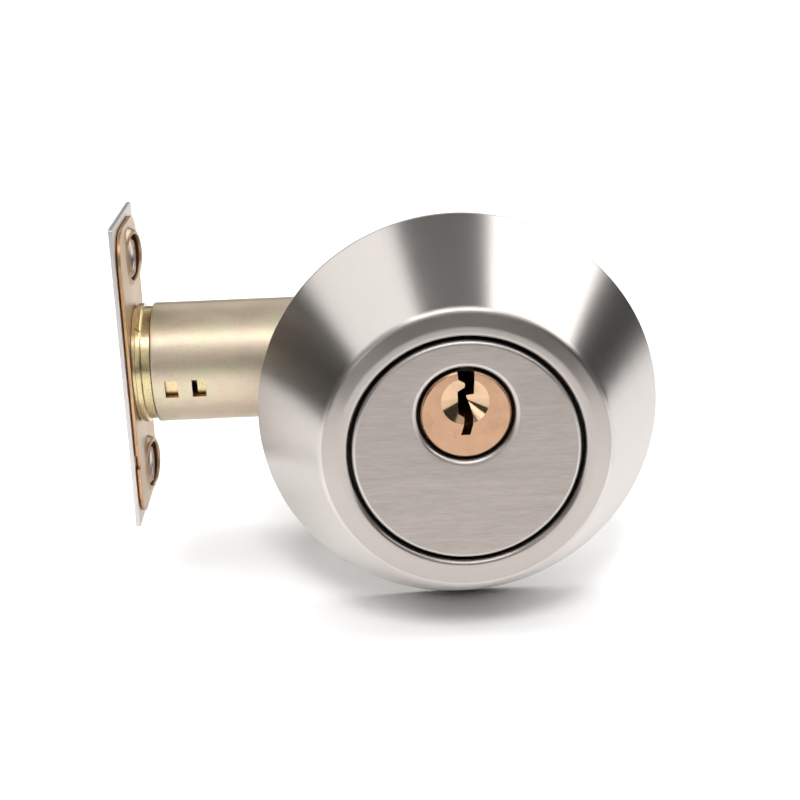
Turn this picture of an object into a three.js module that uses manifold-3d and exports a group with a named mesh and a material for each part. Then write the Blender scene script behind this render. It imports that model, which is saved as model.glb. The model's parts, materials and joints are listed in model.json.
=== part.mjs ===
// Single-cylinder deadbolt door lock, keyed from the street side only, in millimetres, +Z up.
// The latch tube runs along X with the bolt towards -X; -Y is the street side and +Y the room side.
// The origin is on the tube's axis, at mid-door and at the centre of the door's cross bore.
import * as THREE from 'three';
import { mergeVertices } from 'three/addons/utils/BufferGeometryUtils.js';
import Module from 'manifold-3d';

const wasm = await Module();
wasm.setup();

// ---- Driving dimensions ---------------------------------------------------------------------
const DOOR_THICKNESS = 50.8;
const BACKSET = 60.3; // bore centre to the door's edge
const TRIM_DROP = 3.0; // the trim is centred this far below the tube's axis
const KEY_RISE = 6.35; // plug axis above the trim centre
const SCREW_REACH = 19.5; // mounting screws, above and below the trim centre
const THROW = 25.4;
const GAP = 0.3; // room between neighbouring pieces
const PRESS_GAP = 0.1; // room round a pin that is pressed or threaded in

const COLLAR = { base: 35.0, rim: 1.4, shoulder: 24.9, crease: 24.0, lip: 19.65, wall: 1.4, height: 22.4 };
const GUARD = { radius: 18.9, thickness: 2.6, keyhole: 8.13 };
const BASE = { hub: 17.2, front: 23.6, foot: 31.4, wall: 3.0 };
const POST = { radius: 3.4, reach: 15.4, bore: 2.15 };
const SHELL = { radius: 9.2, bore: 6.5, bibleHalf: 4.75, bibleDepth: 17.4, length: 25.35 };
const PLUG = { head: 7.4, body: 6.35, recess: 0.4, dimple: 3.9, dimpleRise: 2.2, dimpleDepth: 1.5 };
const PINS = { count: 5, pitch: 3.97, first: 5.2, radius: 1.4, bore: 1.55, driver: 4.0 };
const KEY_PIN_LENGTHS = [4.6, 5.4, 4.2, 5.0, 4.4];
const PIN_SPRING = { length: 5.8, turns: 3.0, coil: 1.1, wire: 0.22 };
const DOG_LEAD = 225; // degrees from the tailpiece's wing round to the plug's dog

const FACEPLATE = { width: 25.4, height: 57.15, thickness: 0.75 };
const BACKING = { width: 23.0, height: 54.4, thickness: 0.65, corner: 6.0, setback: 0.15 };
const SCREW_RIM = { foot: 5.7, peak: 4.6, hole: 3.9, height: 1.7, lean: [0.13, 0.1] };
const PLATE_SCREW_REACH = 20.6; // faceplate screws above and below the bolt
const TUBE = { radius: 11.3, wall: 0.8, lip: 5.1, end: -24.0 };
const SLEEVE = { radius: 10.25, collar: 10.72, neck: 10.9, bore: 9.65, end: -34.0 };
const ROOT_RING = { radius: 11.3, from: 2.2, to: 3.3, seamAngle: 66, seamSlant: 29 };
const BOLT = { radius: 9.3, half: 5.6, length: 38.0, setback: 0.3 };
const SLIDE = { half: 1.25, top: -3.2, bottom: -9.2, tail: 9.7 };
const CASE = { inner: 5.8, sheet: 1.0, half: 10.4, back: 22.0 };
const HUB = { radius: 5.9, half: 7.3 };
const ARM = { half: 5.0, slotHalf: 2.8, inner: 1.6, outer: 3.8, tipSum: 21.7 };
const TAILPIECE = { thickness: 2.0, width: 7.6, head: 3.4, wing: 7.2, overhang: 6.0 };

const MOUNTING_PLATE = { halfWidth: 29.5, halfHeight: 22.6, thickness: 1.6, window: 8.0 };
const MOUNTING_SCREW = { head: 3.5, headHeight: 2.2, shank: 2.0, tip: -41.0, socket: 1.7 };

const FINE = 40; // sides of the large round pieces
const MEDIUM = 28;
const COARSE = 20;
const SMALL = 12;
const TINY = 8;

const KEY_Z = KEY_RISE - TRIM_DROP;
const CRANK_REACH = THROW / 2; // pin below the hub's axis, and half its travel
const STREET_FACE = -DOOR_THICKNESS / 2;
const ROOM_FACE = DOOR_THICKNESS / 2;

// ---- Materials ------------------------------------------------------------------------------
function metal(colour, roughness, metalness = 1.0) {
  return new THREE.MeshStandardMaterial({ color: colour, roughness, metalness });
}
const satinSteel = metal(0xb9b2a8, 0.36);
const plateSteel = metal(0xc7c2ba, 0.42);
const brightSteel = metal(0xcfd0d2, 0.25);
const yellowZinc = metal(0xd9cfa0, 0.34);
const castZinc = metal(0x9c9d9f, 0.5);
const brass = metal(0xd8a473, 0.24);
const springSteel = metal(0x8d8f93, 0.3);

// ---- Solids ---------------------------------------------------------------------------------
function signedVolume(positions, triangles) {
  const corner = [new THREE.Vector3(), new THREE.Vector3(), new THREE.Vector3()];
  let volume = 0;
  for (let t = 0; t < triangles.length; t += 3) {
    corner.forEach((point, k) => point.fromArray(positions, 3 * triangles[t + k]));
    volume += corner[0].dot(corner[1].clone().cross(corner[2])) / 6;
  }
  return volume;
}

// Turns a closed geometry into a solid with its faces pointing out.
function solidOf(geometry) {
  geometry.deleteAttribute('normal');
  geometry.deleteAttribute('uv');
  const merged = mergeVertices(geometry, 1e-4);
  const positions = merged.attributes.position.array;
  const index = merged.index.array;
  const triangles = [];
  for (let t = 0; t < index.length; t += 3) {
    const [a, b, c] = [index[t], index[t + 1], index[t + 2]];
    if (a !== b && b !== c && c !== a) triangles.push(a, b, c);
  }
  if (signedVolume(positions, triangles) < 0) triangles.reverse();
  const mesh = { numProp: 3, vertProperties: positions, triVerts: new Uint32Array(triangles) };
  return new wasm.Manifold(new wasm.Mesh(mesh));
}

function meshOf(solid) {
  const mesh = solid.getMesh();
  const geometry = new THREE.BufferGeometry();
  geometry.setAttribute('position', new THREE.BufferAttribute(new Float32Array(mesh.vertProperties), 3));
  geometry.setIndex(new THREE.BufferAttribute(new Uint32Array(mesh.triVerts), 1));
  geometry.computeVertexNormals();
  return geometry;
}

// Round solids: a profile of [radius, distance along the axis] turned about Y, X or Z.
function latheGeometry(profile, sides) {
  return new THREE.LatheGeometry(profile.map(([radius, along]) => new THREE.Vector2(radius, along)), sides);
}
function turnedY(profile, sides = FINE) {
  return solidOf(latheGeometry(profile, sides));
}
function turnedX(profile, sides = FINE) {
  const along = profile.map(([radius, x]) => [radius, -x]);
  return solidOf(latheGeometry(along, sides).rotateZ(Math.PI / 2));
}
function turnedZ(profile, sides = SMALL) {
  return solidOf(latheGeometry(profile, sides).rotateX(Math.PI / 2));
}
function rod(radius, from, to) {
  return [[0, from], [radius, from], [radius, to], [0, to]];
}
function ring(inner, outer, from, to) {
  return [[inner, from], [outer, from], [outer, to], [inner, to], [inner, from]];
}

function box([x0, x1], [y0, y1], [z0, z1]) {
  const geometry = new THREE.BoxGeometry(x1 - x0, y1 - y0, z1 - z0);
  return solidOf(geometry.translate((x0 + x1) / 2, (y0 + y1) / 2, (z0 + z1) / 2));
}

// Flat solids: an outline in X and Z made thick along Y, or one in Y and Z made thick along X.
function sheetXZ(shape, [y0, y1], curveSegments = 8) {
  const geometry = new THREE.ExtrudeGeometry(shape, { depth: y1 - y0, bevelEnabled: false, curveSegments });
  return solidOf(geometry.rotateX(Math.PI / 2).translate(0, y1, 0));
}
const UPRIGHT = new THREE.Matrix4().makeBasis(
  new THREE.Vector3(0, 1, 0), new THREE.Vector3(0, 0, 1), new THREE.Vector3(1, 0, 0));
function sheetYZ(shape, [x0, x1], curveSegments = 8) {
  const geometry = new THREE.ExtrudeGeometry(shape, { depth: x1 - x0, bevelEnabled: false, curveSegments });
  return solidOf(geometry.applyMatrix4(UPRIGHT).translate(x0, 0, 0));
}
function outline(points) {
  return new THREE.Shape(points.map(([a, b]) => new THREE.Vector2(a, b)));
}
function roundedRectangle(width, height, corner) {
  const [w, h] = [width / 2, height / 2];
  const shape = new THREE.Shape();
  shape.moveTo(-w + corner, -h);
  shape.lineTo(w - corner, -h);
  shape.absarc(w - corner, -h + corner, corner, -Math.PI / 2, 0);
  shape.absarc(w - corner, h - corner, corner, 0, Math.PI / 2);
  shape.absarc(-w + corner, h - corner, corner, Math.PI / 2, Math.PI);
  shape.absarc(-w + corner, -h + corner, corner, Math.PI, 1.5 * Math.PI);
  return shape;
}

// A strip of even thickness along a flat line, as an outline.
function ribbon(line, thickness) {
  const half = thickness / 2;
  const side = (sign) => line.map((point, k) => {
    const along = line[Math.min(k + 1, line.length - 1)].clone().sub(line[Math.max(k - 1, 0)]).normalize();
    return new THREE.Vector2(point.x - sign * along.y * half, point.y + sign * along.x * half);
  });
  return new THREE.Shape([...side(1), ...side(-1).reverse()]);
}

// A direction in the XZ plane, in degrees from +Z towards +X, as a turn about +Y goes.
function clockwise(degrees, radius = 1) {
  const angle = THREE.MathUtils.degToRad(degrees);
  return [radius * Math.sin(angle), radius * Math.cos(angle)];
}
function sector(inner, outer, middle, halfWidth) {
  const steps = [-1, -0.5, 0, 0.5, 1];
  const rim = steps.map((step) => clockwise(middle + step * halfWidth, outer));
  const root = steps.map((step) => clockwise(middle + step * halfWidth, inner)).reverse();
  return outline([...rim, ...root]);
}

function addPart(group, name, solid, material) {
  const mesh = new THREE.Mesh(meshOf(solid), material);
  mesh.name = name;
  group.add(mesh);
}
function groupAt(parent, x, y, z) {
  const group = new THREE.Group();
  group.position.set(x, y, z);
  parent.add(group);
  return group;
}

const lock = new THREE.Group();

// ---- Street trim ----------------------------------------------------------------------------
// Local origin: the trim's centre on the door's street face; depths run out to -Y.
const street = groupAt(lock, 0, STREET_FACE, -TRIM_DROP);
const guardBack = COLLAR.height - GUARD.thickness;
const captureFront = guardBack - GAP; // the collar's inner flange is caught behind the guard
const captureBack = captureFront - 1.0;
const baseShoulder = captureBack - 0.4;
const baseFront = guardBack - PRESS_GAP;
const shellFront = baseFront - 0.15;
const shellBack = shellFront - SHELL.length;

function arc([centreR, centreY], radius, fromDegrees, toDegrees, steps) {
  return Array.from({ length: steps + 1 }, (_, k) => {
    const angle = THREE.MathUtils.degToRad(fromDegrees + (toDegrees - fromDegrees) * k / steps);
    return [centreR + radius * Math.cos(angle), centreY + radius * Math.sin(angle)];
  });
}
function outward(profile) {
  return profile.map(([radius, depth]) => [radius, -depth]);
}

// The free-spinning tapered ring: a pressed shell whose front lip turns in behind the guard.
function collarSolid() {
  const { base, rim, shoulder, crease, lip, wall, height } = COLLAR;
  const creaseDepth = height - 0.6;
  const shoulderDepth = creaseDepth - 0.8;
  const lipRound = 1.1;
  const radialWall = wall * 1.13; // the wall measured square to the axis on the taper
  return turnedY(outward([
    [base - 1.4, GAP],
    [base - 0.3, GAP],
    [base, GAP + 0.3],
    [base, rim],
    [base - 0.35, rim + 0.8],
    [shoulder, shoulderDepth],
    [crease + 0.45, creaseDepth - 0.25],
    [crease - 0.3, creaseDepth + 0.12],
    ...arc([lip + lipRound, height - lipRound], lipRound, 90, 180, 3),
    [lip, captureFront],
    [BASE.hub + 0.4, captureFront],
    [BASE.hub + 0.4, captureBack],
    [lip + wall, captureBack],
    [lip + wall, height - wall],
    [crease - radialWall, creaseDepth - wall],
    [base - radialWall - 0.35, rim + 0.8],
    [base - 1.4, rim],
    [base - 1.4, GAP],
  ]));
}

// The hardened disc in front of the cylinder, with two lugs riveted into the base.
const GUARD_LUG = { radius: 2.0, reach: 13.0, length: 3.2 };
function guardSolid() {
  const edge = 0.7;
  const disc = turnedY(outward([
    [0, guardBack],
    [GUARD.radius, guardBack],
    [GUARD.radius, COLLAR.height - edge],
    [GUARD.radius - 0.2, COLLAR.height - 0.3 * edge],
    [GUARD.radius - edge, COLLAR.height],
    [0, COLLAR.height],
  ]));
  const keyhole = turnedY(outward([
    [0, guardBack - 1],
    [GUARD.keyhole, guardBack - 1],
    [GUARD.keyhole, COLLAR.height - edge],
    [GUARD.keyhole + edge, COLLAR.height + 0.001],
    [GUARD.keyhole + edge, COLLAR.height + 1],
    [0, COLLAR.height + 1],
  ]), MEDIUM).translate([0, 0, KEY_RISE]);
  const lug = turnedY(outward(rod(GUARD_LUG.radius, guardBack - GUARD_LUG.length, guardBack + 0.5)), SMALL);
  return [-1, 1].reduce((solid, side) => solid.add(lug.translate([side * GUARD_LUG.reach, 0, 0])),
    disc.subtract(keyhole));
}

function bibleOutline(halfWidth, depth) {
  const shape = new THREE.Shape();
  shape.moveTo(-halfWidth, 0);
  shape.lineTo(-halfWidth, -depth + 1.5);
  shape.lineTo(-halfWidth + 1.5, -depth);
  shape.lineTo(halfWidth - 1.5, -depth);
  shape.lineTo(halfWidth, -depth + 1.5);
  shape.lineTo(halfWidth, 0);
  return shape;
}
// The cylinder shell's outer form, about the plug's axis.
function shellForm(clearance, fromDepth, toDepth) {
  const round = turnedY(outward(rod(SHELL.radius + clearance, fromDepth, toDepth)), MEDIUM);
  const bible = bibleOutline(SHELL.bibleHalf + clearance, SHELL.bibleDepth + clearance);
  return round.add(sheetXZ(bible, [-toDepth, -fromDepth]));
}

// The die-cast base: a cup that stands on the door, with a hub, and two threaded posts.
function baseSolid() {
  const { hub, front, foot, wall } = BASE;
  const cup = turnedY(outward([
    [foot - 2.4, 0],
    [foot, 0],
    [foot, wall],
    [front, baseShoulder],
    [hub, baseShoulder],
    [hub, baseFront],
    [0, baseFront],
    [0, baseShoulder - wall],
    [front - 2.6, baseShoulder - wall],
    [foot - 2.4, wall],
    [foot - 2.4, 0],
  ]));
  const post = turnedY(outward(rod(POST.radius, -POST.reach, baseShoulder - 1)), SMALL);
  const postBore = turnedY(outward(rod(POST.bore, -POST.reach - 1, 2)), SMALL);
  const lugHole = turnedY(outward(rod(GUARD_LUG.radius + PRESS_GAP, 0, baseFront + 1)), SMALL);
  let base = cup.subtract(shellForm(0.25, 0, baseFront + 1).translate([0, 0, KEY_RISE]));
  for (const side of [-1, 1]) {
    base = base.add(post.translate([0, 0, side * SCREW_REACH]));
    base = base.subtract(postBore.translate([0, 0, side * SCREW_REACH]));
    base = base.subtract(lugHole.translate([side * GUARD_LUG.reach, 0, 0]));
  }
  return base.subtract(shellForm(0.25, 0, baseFront + 1).translate([0, 0, KEY_RISE]));
}

addPart(street, 'exterior_collar', collarSolid(), satinSteel);
addPart(street, 'cylinder_guard', guardSolid(), satinSteel);
addPart(street, 'exterior_base', baseSolid(), castZinc);

// ---- Key cylinder ---------------------------------------------------------------------------
// Local origin: the plug's axis on the door's street face; the pins hang below the axis.
const cylinder = groupAt(street, 0, 0, KEY_RISE);
const pinDepths = Array.from({ length: PINS.count }, (_, k) => shellFront - PINS.first - k * PINS.pitch);
const plugBack = shellBack - 0.2;
const shearKey = -(PLUG.body - 0.25); // foot of every key pin
const shearDriver = -(SHELL.bore + 0.15); // top of every driver pin
const springTop = shearDriver - PINS.driver - PRESS_GAP;
const springFoot = springTop - PIN_SPRING.length;
const coverTop = springFoot - PRESS_GAP;
const coverHalf = 1.9;

function atPins(solid, depth) {
  return solid.translate([0, -depth, 0]);
}

function shellSolid() {
  const bore = turnedY(outward(rod(SHELL.bore, shellBack - 1, shellFront + 1)), MEDIUM);
  const chamber = turnedZ(rod(PINS.bore, -SHELL.bibleDepth - 1, -3), TINY);
  const coverLength = [pinDepths.at(-1) - 3, pinDepths[0] + 3];
  const channel = box([-coverHalf - PRESS_GAP, coverHalf + PRESS_GAP],
    [-coverLength[1] - PRESS_GAP, -coverLength[0] + PRESS_GAP], [-SHELL.bibleDepth - 1, coverTop + 0.05]);
  const shell = shellForm(0, shellBack, shellFront).subtract(bore).subtract(channel);
  return pinDepths.reduce((solid, depth) => solid.subtract(atPins(chamber, depth)), shell);
}

function chamberCoverSolid() {
  return box([-coverHalf, coverHalf], [-pinDepths[0] - 3, -pinDepths.at(-1) + 3],
    [-SHELL.bibleDepth, coverTop]);
}

// The keyway's zig-zag section, up one side and down the other, open at the plug's top.
const KEYWAY = [
  [1.5, 8.0], [1.4, 3.1], [0.1, 2.8], [0.7, 1.1], [1.2, -0.6], [1.1, -1.8], [0.6, -3.5],
  [-0.9, -3.5], [-0.4, -1.8], [-0.2, -0.6], [-1.2, 0.1], [-1.25, 3.6], [0.0, 4.5], [-0.1, 5.3],
  [-1.1, 6.1], [-1.4, 8.0],
];
function plugSolid() {
  const front = COLLAR.height - PLUG.recess;
  const chamfer = 0.4;
  const blank = turnedY(outward([
    [0, plugBack - 1.9],
    [3.0, plugBack - 1.9],
    [3.0, plugBack],
    [PLUG.body, plugBack],
    [PLUG.body, shellFront + PRESS_GAP],
    [PLUG.head, shellFront + PRESS_GAP],
    [PLUG.head, front - chamfer],
    [PLUG.head - chamfer, front],
    [0, front],
  ]), MEDIUM);
  const keyway = sheetXZ(outline(KEYWAY), [-front - 1, -plugBack - 1.5]);
  const dimple = turnedY(outward([
    [0, front - PLUG.dimpleDepth],
    [PLUG.dimple * 1.02, front + 0.03],
    [PLUG.dimple * 1.02, front + 1],
    [0, front + 1],
  ]), COARSE).translate([0, 0, PLUG.dimpleRise]);
  const chamber = turnedZ(rod(PINS.bore, -PLUG.body - 1, 1.0), TINY);
  const plug = blank.subtract(keyway).subtract(dimple);
  return pinDepths.reduce((solid, depth) => solid.subtract(atPins(chamber, depth)), plug);
}

// A cone-tipped key pin stands on the shear line; a plain driver hangs below it on its spring.
function keyPinSolid(length) {
  const tip = 0.9;
  return turnedZ([[0, shearKey], [PINS.radius, shearKey], [PINS.radius, shearKey + length - tip],
    [0.4, shearKey + length], [0, shearKey + length]], TINY);
}
function driverPinSolid() {
  return turnedZ(rod(PINS.radius, shearDriver - PINS.driver, shearDriver), TINY);
}
class Helix extends THREE.Curve {
  getPoint(t) {
    const angle = t * PIN_SPRING.turns * 2 * Math.PI;
    const rise = PIN_SPRING.wire + t * (PIN_SPRING.length - 2 * PIN_SPRING.wire);
    return new THREE.Vector3(PIN_SPRING.coil * Math.cos(angle), PIN_SPRING.coil * Math.sin(angle), rise);
  }
}
function pinSpringSolid() {
  const wire = outline([0, 1, 2, 3].map((k) => clockwise(45 + 90 * k, PIN_SPRING.wire)));
  const stepsPerTurn = 6;
  const steps = Math.round(PIN_SPRING.turns * stepsPerTurn);
  const settings = { steps, bevelEnabled: false, extrudePath: new Helix() };
  const geometry = new THREE.ExtrudeGeometry(wire, settings);
  return solidOf(geometry.translate(0, 0, springFoot));
}

// The retainer holds the plug in and carries the dog that turns the tailpiece.
const retainerFront = plugBack - 0.2;
const retainerBack = retainerFront - 1.6;
function retainerSolid() {
  const disc = turnedY(outward(ring(3.2, SHELL.bore + 1.1, retainerBack, retainerFront)), MEDIUM);
  const dog = sheetXZ(sector(4.2, 7.4, DOG_LEAD, 17), [-retainerFront + 0.5, -retainerBack + 2.2]);
  return disc.add(dog);
}

addPart(cylinder, 'cylinder_body', shellSolid(), brass);
addPart(cylinder, 'chamber_cover', chamberCoverSolid(), brass);
addPart(cylinder, 'cylinder_plug', plugSolid(), brass);
addPart(cylinder, 'plug_retainer', retainerSolid(), brightSteel);
pinDepths.forEach((depth, k) => {
  const seat = groupAt(cylinder, 0, -depth, 0);
  addPart(seat, `key_pin_${k + 1}`, keyPinSolid(KEY_PIN_LENGTHS[k]), brass);
  addPart(seat, `driver_pin_${k + 1}`, driverPinSolid(), brass);
  addPart(seat, `pin_spring_${k + 1}`, pinSpringSolid(), springSteel);
});

// ---- Tailpiece and crank --------------------------------------------------------------------
// Local origin: the plug's axis at mid-door. The plug's dog turns the tailpiece, and that the crank.
const spindle = groupAt(lock, 0, 0, KEY_Z);
const tailHeadStart = STREET_FACE - retainerBack + GAP;
const tailHeadEnd = tailHeadStart + 1.6;
const tailEnd = HUB.half + TAILPIECE.overhang;

function tailpieceSolid() {
  const { thickness, width, head, wing } = TAILPIECE;
  const disc = turnedY(rod(head, tailHeadStart, tailHeadEnd), SMALL);
  const driven = sheetXZ(sector(1.0, wing, 0, 18), [tailHeadStart, tailHeadEnd]);
  const bar = box([-thickness / 2, thickness / 2], [tailHeadStart + 0.5, tailEnd], [-width / 2, width / 2]);
  return disc.add(driven).add(bar);
}

// The crank: a slotted hub with two forked arms that push the slide's pin along.
function crankSolid() {
  const hub = turnedY(rod(HUB.radius, -HUB.half, HUB.half), MEDIUM);
  const slotHalf = TAILPIECE.thickness / 2 + 0.2;
  const slotReach = TAILPIECE.width / 2 + 0.2;
  const slot = box([-slotHalf, slotHalf], [-HUB.half - 1, HUB.half + 1], [-slotReach, slotReach]);
  const tip = ARM.tipSum;
  const fork = outline([
    [-ARM.half, 0], [-ARM.half, tip - ARM.half], [-ARM.slotHalf, tip - ARM.slotHalf],
    [-ARM.slotHalf, HUB.radius + 3], [ARM.slotHalf, HUB.radius + 3], [ARM.slotHalf, tip - ARM.slotHalf],
    [ARM.half, tip - ARM.half], [ARM.half, 0],
  ]);
  const restAngle = 135;
  const arm = sheetXZ(fork, [ARM.inner, ARM.outer]).rotate([0, restAngle, 0]);
  const mirrored = arm.translate([0, -ARM.inner - ARM.outer, 0]);
  return hub.add(arm).add(mirrored).subtract(slot);
}

addPart(spindle, 'tailpiece', tailpieceSolid(), brightSteel);
addPart(spindle, 'crank_hub', crankSolid(), castZinc);

// ---- Latch: plates and tube -----------------------------------------------------------------
// Local origin: the faceplate's outer face, on the tube's axis.
const latch = groupAt(lock, -BACKSET, 0, 0);
const plateBack = FACEPLATE.thickness;
const backingFront = plateBack + BACKING.setback;
const backingBack = backingFront + BACKING.thickness;

function boltHole(radius, half, [x0, x1]) {
  const round = turnedX(rod(radius, x0, x1), MEDIUM);
  return round.intersect(box([x0 - 1, x1 + 1], [-half, half], [-radius - 1, radius + 1]));
}
function atPlateScrews(solid, add) {
  return [-1, 1].map((side) => add.translate([0, 0, side * PLATE_SCREW_REACH]))
    .reduce((sum, piece) => sum.add(piece), solid);
}

// The faceplate is pressed in behind each screw hole, so a countersunk head sits flush.
function faceplateSolid() {
  const plate = sheetYZ(roundedRectangle(FACEPLATE.width, FACEPLATE.height, 0.6), [0, plateBack], 2);
  const cup = turnedX([[0, plateBack - 0.4], [5.0, plateBack - 0.4], [5.0, plateBack],
    [3.1, 2.3], [0, 2.3]], COARSE);
  const sink = turnedX([[0, -1], [4.7, -1], [4.7, 0], [2.5, 1.9], [2.5, 4], [0, 4]], COARSE);
  let faceplate = atPlateScrews(plate, cup);
  faceplate = faceplate.subtract(boltHole(BOLT.radius + 0.4, BOLT.half + 0.4, [-1, 2]));
  for (const side of [-1, 1]) {
    faceplate = faceplate.subtract(sink.translate([0, 0, side * PLATE_SCREW_REACH]));
  }
  return faceplate;
}

// The backing plate has a small notch in one edge, and a rim pressed out round each screw hole: it
// rises askew, as one turn of thread does, so that a screw holds in it.
function backingSolid() {
  const { width, height, corner } = BACKING;
  const plate = sheetYZ(roundedRectangle(width, height, corner), [backingFront, backingBack], 5);
  const { foot, peak, hole, lean } = SCREW_RIM;
  const rimPeak = backingBack + SCREW_RIM.height;
  const tilt = lean.map((slope) => THREE.MathUtils.radToDeg(Math.atan(slope)));
  const above = box([0, 8], [-9, 9], [-9, 9]).rotate([0, tilt[1], -tilt[0]])
    .translate([backingBack + SCREW_RIM.height / 2, 0, 0]);
  const rim = turnedX([[0, backingBack - 0.4], [foot, backingBack - 0.4], [foot, backingBack],
    [peak, rimPeak], [0, rimPeak]], COARSE).subtract(above);
  const hollow = turnedX([[0, backingFront - 1], [5.2, backingFront - 1], [5.2, backingFront],
    [hole, rimPeak - 0.5], [hole, rimPeak + 1], [0, rimPeak + 1]], COARSE);
  const through = [backingFront - 1, backingBack + 1];
  const notch = box(through, [-width / 2 - 1, -width / 2 + 1.2], [-17.4, -14.8]);
  let backing = atPlateScrews(plate, rim).subtract(notch);
  backing = backing.subtract(boltHole(BOLT.radius + 0.6, BOLT.half + 0.8, through));
  for (const side of [-1, 1]) {
    backing = backing.subtract(hollow.translate([0, 0, side * PLATE_SCREW_REACH]));
  }
  return backing;
}

// The inner sleeve carries the plates, and a root ring rolled round it, whose ends leave a seam; the
// tube slides over the sleeve to suit the backset.
function sleeveSolid() {
  const { radius, collar, neck, bore } = SLEEVE;
  const { from, to, seamAngle, seamSlant } = ROOT_RING;
  const root = backingBack + PRESS_GAP;
  const collarEnd = TUBE.lip - 0.2;
  const end = SLEEVE.end + BACKSET;
  const body = turnedX([[bore, root], [neck, root], [neck, from], [ROOT_RING.radius, from],
    [ROOT_RING.radius, to], [collar, to], [collar, collarEnd], [radius, collarEnd], [radius, end],
    [bore, end], [bore, root]]);
  const slot = box([12.9, 13.9], [-radius - 1, -bore + 1], [-3.6, -0.6]);
  const seam = box([-0.9, 0.9], [-ROOT_RING.radius - 1, -neck], [-0.12, 0.12])
    .rotate([0, seamSlant, 0]).translate([(from + to) / 2, 0, 0]).rotate([-seamAngle, 0, 0]);
  return body.subtract(slot).subtract(seam);
}

const WINDOWS = [[7.4, 9.75], [12.4, 14.9]]; // along the tube, from the faceplate's outer face
function tubeSolid() {
  const { radius, wall, lip } = TUBE;
  const end = TUBE.end + BACKSET;
  const tube = turnedX(ring(radius - wall, radius, lip, end));
  const windows = WINDOWS.map((span) => box(span, [-radius - 1, -radius + 3], [-3.8, -0.4]));
  return windows.reduce((solid, opening) => solid.subtract(opening), tube);
}

addPart(latch, 'faceplate', faceplateSolid(), plateSteel);
addPart(latch, 'backing_plate', backingSolid(), yellowZinc);
addPart(latch, 'latch_sleeve', sleeveSolid(), yellowZinc);
addPart(latch, 'bolt_tube', tubeSolid(), yellowZinc);

// ---- Latch: bolt and slide ------------------------------------------------------------------
// Local origin: the bolt's end face, on the tube's axis.
const bolt = groupAt(lock, -BACKSET + BOLT.setback, 0, 0);
const slideRoot = BOLT.length - SLIDE.tail;
const rivetX = BOLT.length - 5;
const rivetZ = (SLIDE.top + SLIDE.bottom) / 2;
const pinX = BACKSET - BOLT.setback + THROW / 2;
const pinZ = KEY_Z - CRANK_REACH;
const SAW_PIN = { radius: 2.3, rise: 3.0, nose: 4.0 };
const CRANK_PIN = { radius: 1.5, half: 4.2, boss: 2.8 };
const SLIDE_RIVET = { radius: 1.4, half: 5.4 };

function crossRod(radius, half, x, z) {
  return turnedY(rod(radius, -half, half), SMALL).translate([x, 0, z]);
}

function deadboltSolid() {
  const { radius, half, length } = BOLT;
  const chamfer = 0.6;
  const round = turnedX([[0, 0], [radius - chamfer, 0], [radius, chamfer], [radius, length], [0, length]]);
  const flats = box([-1, length + 1], [-half, half], [-radius - 1, radius + 1]);
  const slot = box([slideRoot - GAP, length + 1], [-SLIDE.half - 0.15, SLIDE.half + 0.15],
    [-radius - 1, SLIDE.top + 0.2]);
  const drilling = turnedX(rod(SAW_PIN.radius + 0.15, SAW_PIN.nose - GAP, length + 1), SMALL)
    .translate([0, 0, SAW_PIN.rise]);
  return round.intersect(flats).subtract(slot).subtract(drilling)
    .subtract(crossRod(SLIDE_RIVET.radius + PRESS_GAP, half + 1, rivetX, rivetZ));
}

function slideSolid() {
  const bar = box([slideRoot, pinX], [-SLIDE.half, SLIDE.half], [SLIDE.bottom, SLIDE.top]);
  const boss = crossRod(CRANK_PIN.boss, SLIDE.half, pinX, pinZ);
  const cheek = box([pinX - 1, pinX + CRANK_PIN.boss], [-SLIDE.half, SLIDE.half], [pinZ, SLIDE.top]);
  return bar.add(boss).add(cheek)
    .subtract(crossRod(CRANK_PIN.radius + PRESS_GAP, SLIDE.half + 1, pinX, pinZ))
    .subtract(crossRod(SLIDE_RIVET.radius + PRESS_GAP, SLIDE.half + 1, rivetX, rivetZ));
}

function sawPinSolid() {
  return turnedX(rod(SAW_PIN.radius, SAW_PIN.nose, BOLT.length - 2), SMALL).translate([0, 0, SAW_PIN.rise]);
}

addPart(bolt, 'deadbolt', deadboltSolid(), brightSteel);
addPart(bolt, 'anti_saw_pin', sawPinSolid(), springSteel);
addPart(bolt, 'bolt_slide', slideSolid(), plateSteel);
addPart(bolt, 'slide_rivet', crossRod(SLIDE_RIVET.radius, SLIDE_RIVET.half, rivetX, rivetZ), brightSteel);
addPart(bolt, 'crank_pin', crossRod(CRANK_PIN.radius, CRANK_PIN.half, pinX, pinZ), brightSteel);

// ---- Latch: case ----------------------------------------------------------------------------
// Two cheeks hold the crank's hub; they are open below, where its arms swing out into the bore.
const CASE_RIVETS = [[-18, 7.2], [18.8, 7.2], [18.8, -6.6]];
const CASE_RIVET = { shank: 1.5, head: 2.4, headHeight: 0.7 };
const caseOuter = CASE.inner + CASE.sheet;

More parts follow.
